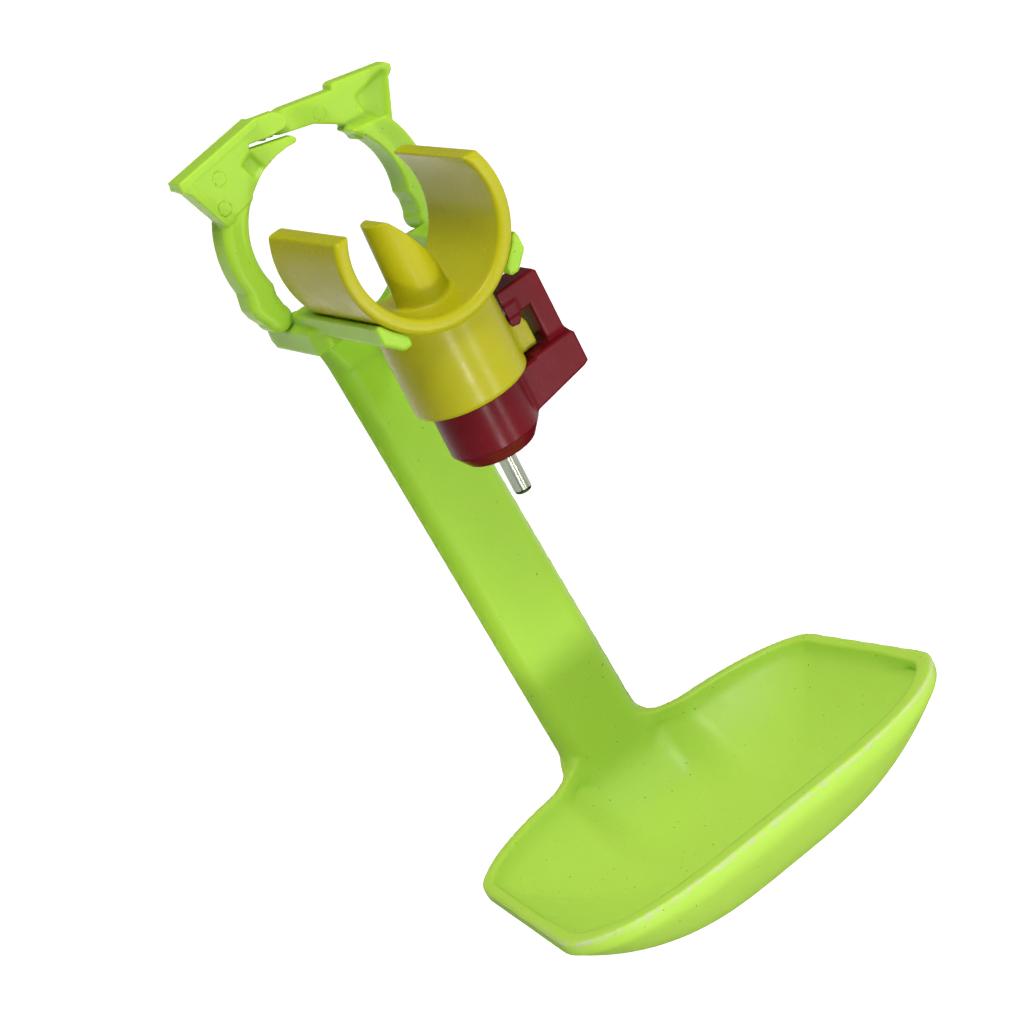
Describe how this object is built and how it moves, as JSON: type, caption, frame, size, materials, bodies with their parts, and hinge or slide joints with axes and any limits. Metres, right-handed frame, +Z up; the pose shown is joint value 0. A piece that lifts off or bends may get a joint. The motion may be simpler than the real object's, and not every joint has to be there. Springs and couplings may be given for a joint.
{
  "type": "poultry nipple drinker with drip cup",
  "caption": "Nipple drinker for a round water pipe: yellow saddle with an inlet spout, red latched nipple with a steel trigger pin, and a green clamp hanger that holds a drip cup below the pin.",
  "frame": {"origin": "on the water pipe's axis, straight above the nipple's axis, in the middle of the saddle", "axes": "+Y along the water pipe's axis towards the clamp and arm, +X along the long side of the drip cup towards the nipple's latch plate, +Z up"},
  "size_m": [0.078, 0.0664, 0.1379],
  "materials": {
    "yellow_plastic": "moulded, satin gloss",
    "red_plastic": "moulded, satin gloss",
    "green_plastic": "moulded, satin, slightly translucent",
    "stainless_steel": "turned and polished",
    "black_rubber": "matte",
    "white_plastic": "moulded, matte"
  },
  "bodies": {
    "saddle": {"pipe_saddle": "yellow_plastic"},
    "hanger": {"drip_cup_hanger": "green_plastic"},
    "left_jaw": {"clamp_jaw_left": "green_plastic"},
    "right_jaw": {"clamp_jaw_right": "green_plastic"},
    "nipple": {"nipple_body": "red_plastic", "seal_ring": "black_rubber", "rod_guide": "white_plastic", "valve_sleeve": "stainless_steel"},
    "valve_stem": {"valve_rod": "stainless_steel"},
    "ball": {"valve_ball": "stainless_steel"},
    "trigger": {"trigger_pin": "stainless_steel"}
  },
  "joints": [
    {"name": "hanger_slide", "type": "slide", "parent": "saddle", "child": "hanger", "axis": [0, 1, 0], "range_m": [0, 0.022]},
    {"name": "left_jaw_hinge", "type": "hinge", "parent": "hanger", "child": "left_jaw", "pos_m": [-0.0152, 0.0208, -0.0081], "axis": [0, -1, 0], "range_deg": [-1.5, 32]},
    {"name": "right_jaw_hinge", "type": "hinge", "parent": "hanger", "child": "right_jaw", "pos_m": [0.0152, 0.0208, -0.0081], "axis": [0, 1, 0], "range_deg": [-1.5, 32]},
    {"name": "nipple_twist", "type": "hinge", "parent": "saddle", "child": "nipple", "pos_m": [0, 0, -0.029], "axis": [0, 0, 1], "range_deg": [-25, 0]},
    {"name": "valve_lift", "type": "slide", "parent": "nipple", "child": "valve_stem", "axis": [0, 0, 1], "range_m": [0, 0.0015]},
    {"name": "trigger_tilt_front_back", "type": "hinge", "parent": "valve_stem", "child": "ball", "pos_m": [0, 0, -0.0356], "axis": [1, 0, 0], "range_deg": [-7, 7]},
    {"name": "trigger_tilt_side", "type": "hinge", "parent": "ball", "child": "trigger", "pos_m": [0, 0, -0.0356], "axis": [0, 1, 0], "range_deg": [-7, 7]}
  ]
}
